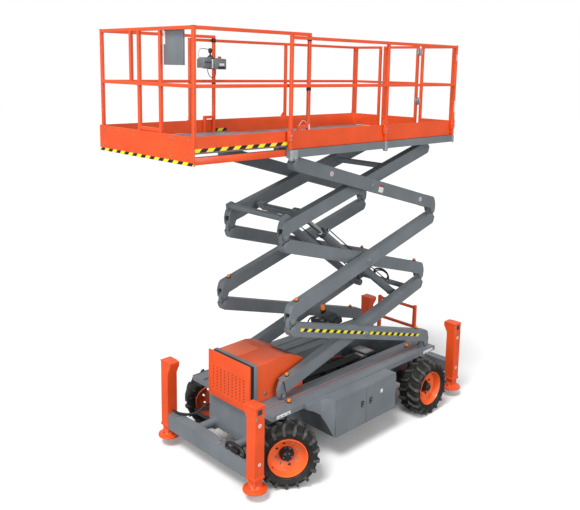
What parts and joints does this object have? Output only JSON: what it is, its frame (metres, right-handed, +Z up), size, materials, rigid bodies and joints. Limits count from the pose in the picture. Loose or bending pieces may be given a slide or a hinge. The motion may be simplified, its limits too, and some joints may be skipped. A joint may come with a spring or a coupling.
{
  "type": "scissor lift",
  "caption": "Rough-terrain scissor lift with hydraulic outriggers, railed platform and roll-out deck.",
  "frame": {"origin": "on the ground under the centre of the overall box", "axes": "+X towards the front (engine cover and roll-out deck), +Y to the machine's left, +Z up"},
  "size_m": [4.423, 2.1198, 4.678],
  "materials": {
    "orange_paint": "semi-gloss",
    "grey_paint": "semi-gloss",
    "dark_paint": "satin",
    "tyre": "matt",
    "steel": "polished",
    "deck": "satin"
  },
  "bodies": {
    "chassis": {"chassis_frame": "grey_paint", "front_axle": "dark_paint", "rear_axle": "dark_paint", "outrigger_front_left": "orange_paint", "outrigger_front_right": "orange_paint", "outrigger_rear_left": "orange_paint", "outrigger_rear_right": "orange_paint", "cabinet_left": "grey_paint", "cabinet_right": "grey_paint", "engine_cover": "orange_paint", "engine": "dark_paint", "radiator": "dark_paint", "guard_panel": "orange_paint", "ladder": "orange_paint"},
    "knuckle_left": {"knuckle_left": "dark_paint"},
    "knuckle_right": {"knuckle_right": "dark_paint"},
    "tie_rod": {"tie_rod": "dark_paint"},
    "lower_outer_arms": {"lower_outer_arm_left": "grey_paint", "lower_outer_arm_right": "grey_paint"},
    "lower_inner_arms": {"lower_inner_arms": "grey_paint"},
    "middle_inner_arms": {"middle_inner_arms": "grey_paint"},
    "middle_outer_arms": {"middle_outer_arm_left": "grey_paint", "middle_outer_arm_right": "grey_paint"},
    "upper_inner_arms": {"upper_inner_arms": "grey_paint"},
    "upper_outer_arms": {"upper_outer_arm_left": "grey_paint", "upper_outer_arm_right": "grey_paint"},
    "lift_rods": {"lift_rods": "steel"},
    "lift_barrels": {"lift_barrels": "grey_paint"},
    "platform": {"platform_deck": "deck", "toe_board_left": "orange_paint", "toe_board_right": "orange_paint", "side_rail_left": "orange_paint", "side_rail_right": "orange_paint", "rear_rail_left": "orange_paint", "rear_rail_right": "orange_paint"},
    "entry_gate": {"entry_gate": "orange_paint"},
    "extension": {"extension_deck": "deck", "extension_toe_boards": "orange_paint", "extension_front_rail": "orange_paint", "extension_side_rail_left": "orange_paint", "extension_side_rail_right": "orange_paint", "control_box": "grey_paint", "manual_box": "grey_paint"},
    "wheel_front_left": {"tyre_front_left": "tyre", "rim_front_left": "orange_paint"},
    "leg_front_left": {"leg_front_left": "orange_paint"},
    "wheel_front_right": {"tyre_front_right": "tyre", "rim_front_right": "orange_paint"},
    "leg_front_right": {"leg_front_right": "orange_paint"},
    "wheel_rear_left": {"tyre_rear_left": "tyre", "rim_rear_left": "orange_paint"},
    "leg_rear_left": {"leg_rear_left": "orange_paint"},
    "wheel_rear_right": {"tyre_rear_right": "tyre", "rim_rear_right": "orange_paint"},
    "leg_rear_right": {"leg_rear_right": "orange_paint"},
    "cabinet_door_rear_left": {"cabinet_door_rear_left": "grey_paint"},
    "cabinet_door_front_left": {"cabinet_door_front_left": "grey_paint"},
    "cabinet_door_rear_right": {"cabinet_door_rear_right": "grey_paint"},
    "cabinet_door_front_right": {"cabinet_door_front_right": "grey_paint"}
  },
  "joints": [
    {"name": "lift", "type": "hinge", "parent": "chassis", "child": "lower_outer_arms", "pos_m": [-1.6485, 0, 0.811], "axis": [0, -1, 0], "range_deg": [-15.9, 49.3]},
    {"name": "lower_centre_pivot", "type": "hinge", "parent": "lower_outer_arms", "child": "lower_inner_arms", "pos_m": [-0.42283, 0, 1.25468], "axis": [0, -1, 0], "range_deg": [-98.7, 31.9]},
    {"name": "lower_rear_pin", "type": "hinge", "parent": "lower_inner_arms", "child": "middle_inner_arms", "pos_m": [-1.6485, 0, 1.69837], "axis": [0, -1, 0], "range_deg": [-31.9, 98.7]},
    {"name": "middle_centre_pivot", "type": "hinge", "parent": "middle_inner_arms", "child": "middle_outer_arms", "pos_m": [-0.42283, 0, 2.14205], "axis": [0, -1, 0], "range_deg": [-98.7, 31.9]},
    {"name": "upper_front_pin", "type": "hinge", "parent": "middle_inner_arms", "child": "upper_inner_arms", "pos_m": [0.80283, 0, 2.58574], "axis": [0, -1, 0], "range_deg": [-98.7, 31.9]},
    {"name": "upper_centre_pivot", "type": "hinge", "parent": "upper_inner_arms", "child": "upper_outer_arms", "pos_m": [-0.42283, 0, 3.02942], "axis": [0, -1, 0], "range_deg": [-31.9, 98.7]},
    {"name": "platform_pin", "type": "hinge", "parent": "upper_inner_arms", "child": "platform", "pos_m": [-1.6485, 0, 3.47311], "axis": [0, -1, 0], "range_deg": [-16, 49.4]},
    {"name": "lift_rod_pin", "type": "hinge", "parent": "upper_inner_arms", "child": "lift_rods", "pos_m": [0.45043, 0, 2.78067], "axis": [0, -1, 0], "range_deg": [-31.9, 98.7]},
    {"name": "lift_cylinder_stroke", "type": "slide", "parent": "lift_rods", "child": "lift_barrels", "axis": [-0.8072, 0, -0.5903], "range_m": [-0.3479, 1.0766]},
    {"name": "roll_out_deck", "type": "slide", "parent": "platform", "child": "extension", "axis": [1, 0, 0], "range_m": [-1.07, 0]},
    {"name": "entry_gate", "type": "hinge", "parent": "platform", "child": "entry_gate", "pos_m": [-1.6915, 0.282, 4.17], "axis": [0, 0, 1], "range_deg": [0, 88]},
    {"name": "steer_left", "type": "hinge", "parent": "chassis", "child": "knuckle_left", "pos_m": [0.901, 0.615, 0.345], "axis": [0, 0, 1], "range_deg": [-1.3, 74.7]},
    {"name": "steer_right", "type": "hinge", "parent": "chassis", "child": "knuckle_right", "pos_m": [0.901, -0.615, 0.345], "axis": [0, 0, 1], "range_deg": [-1.3, 74.7]},
    {"name": "tie_rod", "type": "hinge", "parent": "knuckle_left", "child": "tie_rod", "pos_m": [1.06136, 0.49547, 0.295], "axis": [0, 0, 1], "range_deg": [-74.8, 1.4]},
    {"name": "wheel_front_left", "type": "hinge", "parent": "knuckle_left", "child": "wheel_front_left", "pos_m": [1.01156, 0.76333, 0.345], "axis": [0.5976, 0.8018, 0], "continuous": true},
    {"name": "outrigger_front_left", "type": "slide", "parent": "chassis", "child": "leg_front_left", "axis": [0, 0, -1], "range_m": [0, 0.3]},
    {"name": "wheel_front_right", "type": "hinge", "parent": "knuckle_right", "child": "wheel_front_right", "pos_m": [0.79044, -0.76333, 0.345], "axis": [0.5976, 0.8018, 0], "continuous": true},
    {"name": "outrigger_front_right", "type": "slide", "parent": "chassis", "child": "leg_front_right", "axis": [0, 0, -1], "range_m": [0, 0.3]},
    {"name": "wheel_rear_left", "type": "hinge", "parent": "chassis", "child": "wheel_rear_left", "pos_m": [-1.399, 0.77, 0.345], "axis": [0, 1, 0], "continuous": true},
    {"name": "outrigger_rear_left", "type": "slide", "parent": "chassis", "child": "leg_rear_left", "axis": [0, 0, -1], "range_m": [0, 0.3]},
    {"name": "wheel_rear_right", "type": "hinge", "parent": "chassis", "child": "wheel_rear_right", "pos_m": [-1.399, -0.77, 0.345], "axis": [0, 1, 0], "continuous": true},
    {"name": "outrigger_rear_right", "type": "slide", "parent": "chassis", "child": "leg_rear_right", "axis": [0, 0, -1], "range_m": [0, 0.3]},
    {"name": "cabinet_door_rear_left", "type": "hinge", "parent": "chassis", "child": "cabinet_door_rear_left", "pos_m": [-0.7065, 0.855, 0.529], "axis": [0, 0, 1], "range_deg": [0, 105]},
    {"name": "cabinet_door_front_left", "type": "hinge", "parent": "chassis", "child": "cabinet_door_front_left", "pos_m": [0.3465, 0.855, 0.529], "axis": [0, 0, -1], "range_deg": [0, 105]},
    {"name": "cabinet_door_rear_right", "type": "hinge", "parent": "chassis", "child": "cabinet_door_rear_right", "pos_m": [-0.7065, -0.855, 0.529], "axis": [0, 0, -1], "range_deg": [0, 105]},
    {"name": "cabinet_door_front_right", "type": "hinge", "parent": "chassis", "child": "cabinet_door_front_right", "pos_m": [0.3465, -0.855, 0.529], "axis": [0, 0, 1], "range_deg": [0, 105]}
  ],
  "couplings": [
    {"joint": "lower_centre_pivot", "follows": "lift", "ratio": -2},
    {"joint": "lower_rear_pin", "follows": "lift", "ratio": 2},
    {"joint": "middle_centre_pivot", "follows": "lift", "ratio": -2},
    {"joint": "upper_front_pin", "follows": "lift", "ratio": -2},
    {"joint": "upper_centre_pivot", "follows": "lift", "ratio": 2},
    {"joint": "platform_pin", "follows": "lift", "ratio": 1},
    {"joint": "lift_rod_pin", "follows": "lift", "ratio": 2},
    {"joint": "lift_cylinder_stroke", "follows": "lift", "m_per_rad": 1.25},
    {"joint": "steer_right", "follows": "steer_left", "ratio": 1},
    {"joint": "tie_rod", "follows": "steer_left", "ratio": -1}
  ]
}
